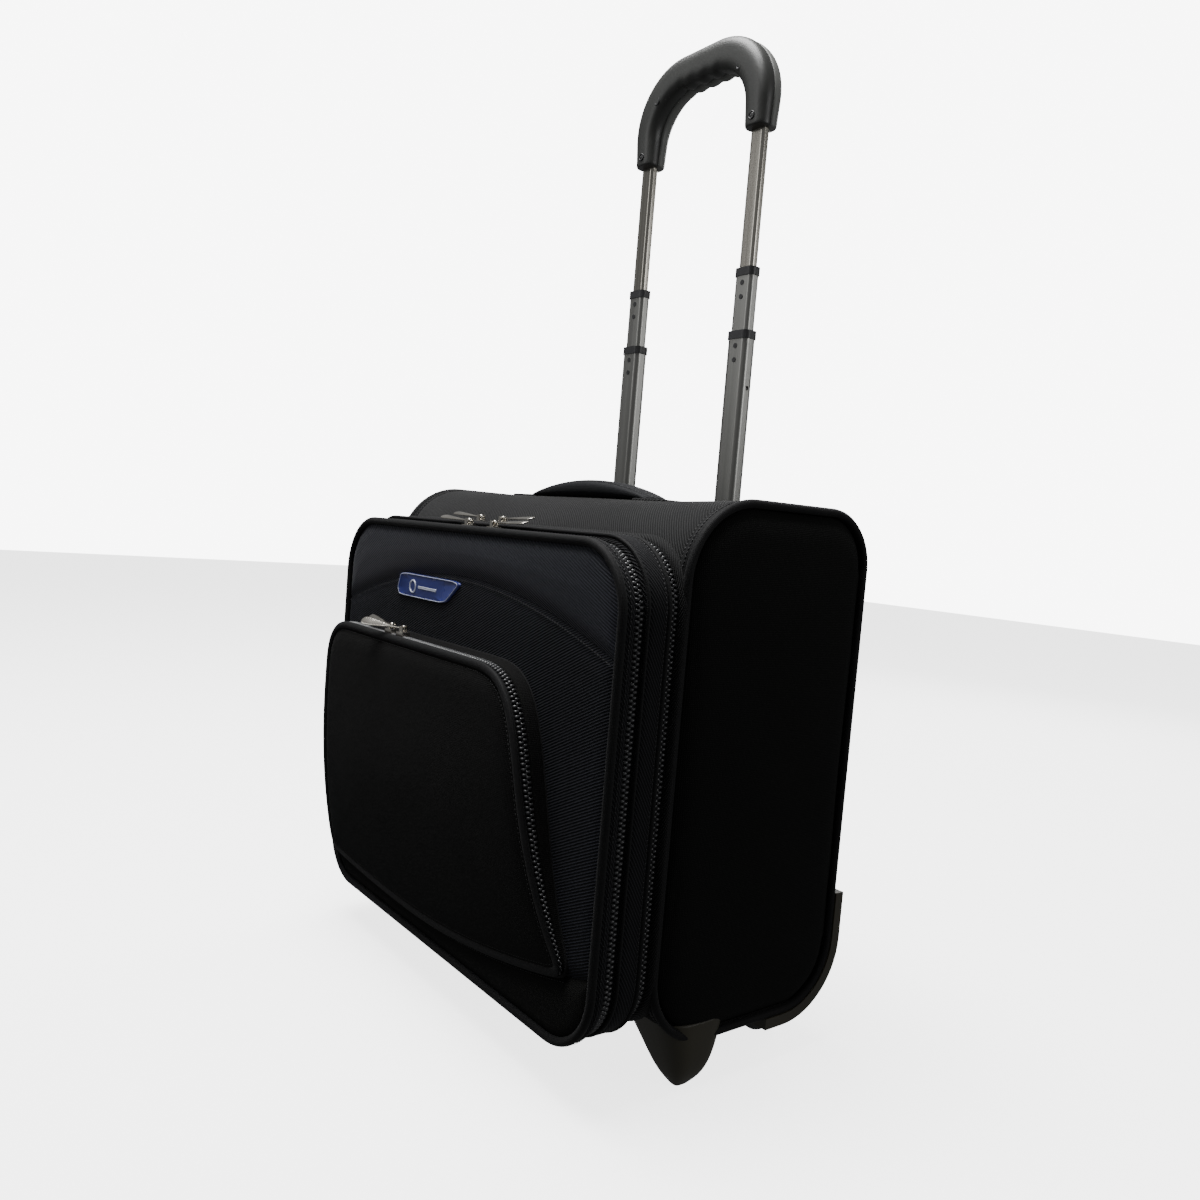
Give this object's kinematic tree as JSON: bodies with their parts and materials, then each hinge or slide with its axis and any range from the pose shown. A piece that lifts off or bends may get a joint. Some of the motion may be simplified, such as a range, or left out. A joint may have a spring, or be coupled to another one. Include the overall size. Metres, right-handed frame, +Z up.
{
  "type": "rolling pilot case",
  "caption": "Soft-sided rolling pilot case with a zipped front box, zipped lid and pocket, telescopic trolley handle, recessed wheels and front feet.",
  "frame": {"origin": "middle of the footprint, on the floor", "axes": "+Z up; the front faces -Y, so the trolley handle and the wheels are at +Y; +X is to the right seen from the front"},
  "size_m": [0.432, 0.2844, 0.8365],
  "materials": {
    "twill_fabric": "black diagonal polyester twill",
    "plain_fabric": "black plain woven polyester",
    "piping_fabric": "black smooth welt",
    "lining_fabric": "dark grey lining",
    "zip_nylon": "black nylon coil on woven tape",
    "moulded_plastic": "dark grey-brown textured polypropylene",
    "black_plastic": "black satin moulding",
    "grip_plastic": "black satin soft-touch",
    "stiff_board": "extruded plastic board",
    "grey_tube": "dark grey satin coated tube",
    "bright_tube": "champagne anodised tube",
    "plated_steel": "zinc plated steel",
    "nickel": "satin nickel zinc casting",
    "badge_enamel": "blue soft PVC",
    "tyre_rubber": "black polyurethane"
  },
  "bodies": {
    "case": {"left_side_panel": "plain_fabric", "right_side_panel": "plain_fabric", "top_panel": "twill_fabric", "back_panel": "twill_fabric", "bottom_panel": "plain_fabric", "side_piping": "piping_fabric", "opening_frame": "twill_fabric", "main_zip": "zip_nylon", "wire_frame": "plated_steel", "back_board": "stiff_board", "trolley_cover": "lining_fabric", "laptop_sleeve": "lining_fabric", "corner_guards": "moulded_plastic", "front_feet": "moulded_plastic", "wheel_axles": "plated_steel", "base_screws": "plated_steel", "trolley_bezel": "black_plastic", "base_tubes": "grey_tube", "tube_socket": "black_plastic", "carry_handle": "plain_fabric"},
    "stage_1": {"stage_1_tubes": "grey_tube", "stage_1_collars": "black_plastic", "stage_1_bushes": "black_plastic"},
    "stage_2": {"stage_2_tubes": "grey_tube", "stage_2_collars": "black_plastic", "stage_2_bushes": "black_plastic"},
    "grip": {"stage_3_tubes": "bright_tube", "stage_3_bushes": "black_plastic", "grip_front": "grip_plastic", "grip_back": "grip_plastic", "grip_screws": "plated_steel", "button_spring": "plated_steel"},
    "button": {"push_button": "black_plastic", "release_yoke": "plated_steel"},
    "left_wheel": {"left_hub": "black_plastic", "left_tyre": "tyre_rubber"},
    "right_wheel": {"right_hub": "black_plastic", "right_tyre": "tyre_rubber"},
    "front_box": {"front_band": "twill_fabric", "lid_zip": "zip_nylon", "divider_panel": "lining_fabric"},
    "lid": {"lid_rim": "twill_fabric", "lid_panel": "twill_fabric", "badge": "badge_enamel", "pocket_gusset": "twill_fabric", "pocket_zip": "zip_nylon"},
    "pocket_flap": {"pocket_panel": "plain_fabric"},
    "main_left_slider_body": {"main_left_slider": "nickel"},
    "main_left_pull_body": {"main_left_pull": "nickel"},
    "main_right_slider_body": {"main_right_slider": "nickel"},
    "main_right_pull_body": {"main_right_pull": "nickel"},
    "lid_left_slider_body": {"lid_left_slider": "nickel"},
    "lid_left_pull_body": {"lid_left_pull": "nickel"},
    "lid_right_slider_body": {"lid_right_slider": "nickel"},
    "lid_right_pull_body": {"lid_right_pull": "nickel"},
    "pocket_left_slider_body": {"pocket_left_slider": "nickel"},
    "pocket_left_pull_body": {"pocket_left_pull": "nickel"},
    "pocket_right_slider_body": {"pocket_right_slider": "nickel"},
    "pocket_right_pull_body": {"pocket_right_pull": "nickel"}
  },
  "joints": [
    {"name": "stage_1_slide", "type": "slide", "parent": "case", "child": "stage_1", "axis": [0, 0, 1], "range_m": [-0.145, 0.015]},
    {"name": "stage_2_slide", "type": "slide", "parent": "stage_1", "child": "stage_2", "axis": [0, 0, 1], "range_m": [-0.046, 0.11]},
    {"name": "stage_3_slide", "type": "slide", "parent": "stage_2", "child": "grip", "axis": [0, 0, 1], "range_m": [-0.114, 0.046]},
    {"name": "button_press", "type": "slide", "parent": "grip", "child": "button", "axis": [0, 0, -1], "range_m": [0, 0.004], "stiffness_N_per_m": 1000, "springref_m": -0.003, "deforming": ["button_spring"]},
    {"name": "left_wheel_spin", "type": "hinge", "parent": "case", "child": "left_wheel", "pos_m": [-0.169, 0.10524, 0.027], "axis": [1, 0, 0], "continuous": true},
    {"name": "right_wheel_spin", "type": "hinge", "parent": "case", "child": "right_wheel", "pos_m": [0.169, 0.10524, 0.027], "axis": [1, 0, 0], "continuous": true},
    {"name": "front_box_hinge", "type": "hinge", "parent": "case", "child": "front_box", "pos_m": [0, -0.06406, 0.041], "axis": [1, 0, 0], "range_deg": [0, 85]},
    {"name": "lid_hinge", "type": "hinge", "parent": "front_box", "child": "lid", "pos_m": [0, -0.09506, 0.04], "axis": [1, 0, 0], "range_deg": [0, 85]},
    {"name": "pocket_flap_hinge", "type": "hinge", "parent": "lid", "child": "pocket_flap", "pos_m": [0, -0.12576, 0.067], "axis": [1, 0, 0], "range_deg": [0, 30]},
    {"name": "main_left_zip_slide", "type": "slide", "parent": "case", "child": "main_left_slider_body", "axis": [1, 0, 0], "range_m": [-0.1, 0]},
    {"name": "main_left_pull_swing", "type": "hinge", "parent": "main_left_slider_body", "child": "main_left_pull_body", "pos_m": [-0.05, -0.05976, 0.3982], "axis": [0, 1, 0], "range_deg": [0, 150]},
    {"name": "main_right_zip_slide", "type": "slide", "parent": "case", "child": "main_right_slider_body", "axis": [1, 0, 0], "range_m": [0, 0.15]},
    {"name": "main_right_pull_swing", "type": "hinge", "parent": "main_right_slider_body", "child": "main_right_pull_body", "pos_m": [-0.014, -0.05976, 0.3982], "axis": [0, -1, 0], "range_deg": [0, 150]},
    {"name": "lid_left_zip_slide", "type": "slide", "parent": "front_box", "child": "lid_left_slider_body", "axis": [1, 0, 0], "range_m": [-0.13, 0]},
    {"name": "lid_left_pull_swing", "type": "hinge", "parent": "lid_left_slider_body", "child": "lid_left_pull_body", "pos_m": [-0.016, -0.09076, 0.3942], "axis": [0, 1, 0], "range_deg": [0, 150]},
    {"name": "lid_right_zip_slide", "type": "slide", "parent": "front_box", "child": "lid_right_slider_body", "axis": [1, 0, 0], "range_m": [0, 0.12]},
    {"name": "lid_right_pull_swing", "type": "hinge", "parent": "lid_right_slider_body", "child": "lid_right_pull_body", "pos_m": [0.024, -0.09076, 0.3942], "axis": [0, -1, 0], "range_deg": [0, 150]},
    {"name": "pocket_left_zip_slide", "type": "slide", "parent": "lid", "child": "pocket_left_slider_body", "axis": [1, 0, 0], "range_m": [-0.07, 0]},
    {"name": "pocket_left_pull_swing", "type": "hinge", "parent": "pocket_left_slider_body", "child": "pocket_left_pull_body", "pos_m": [-0.082, -0.12146, 0.2992], "axis": [0, 1, 0], "range_deg": [0, 150]},
    {"name": "pocket_right_zip_slide", "type": "slide", "parent": "lid", "child": "pocket_right_slider_body", "axis": [1, 0, 0], "range_m": [0, 0.13]},
    {"name": "pocket_right_pull_swing", "type": "hinge", "parent": "pocket_right_slider_body", "child": "pocket_right_pull_body", "pos_m": [-0.06, -0.12146, 0.2992], "axis": [-0.4067, 0.9135, 0], "range_deg": [0, 118]}
  ]
}
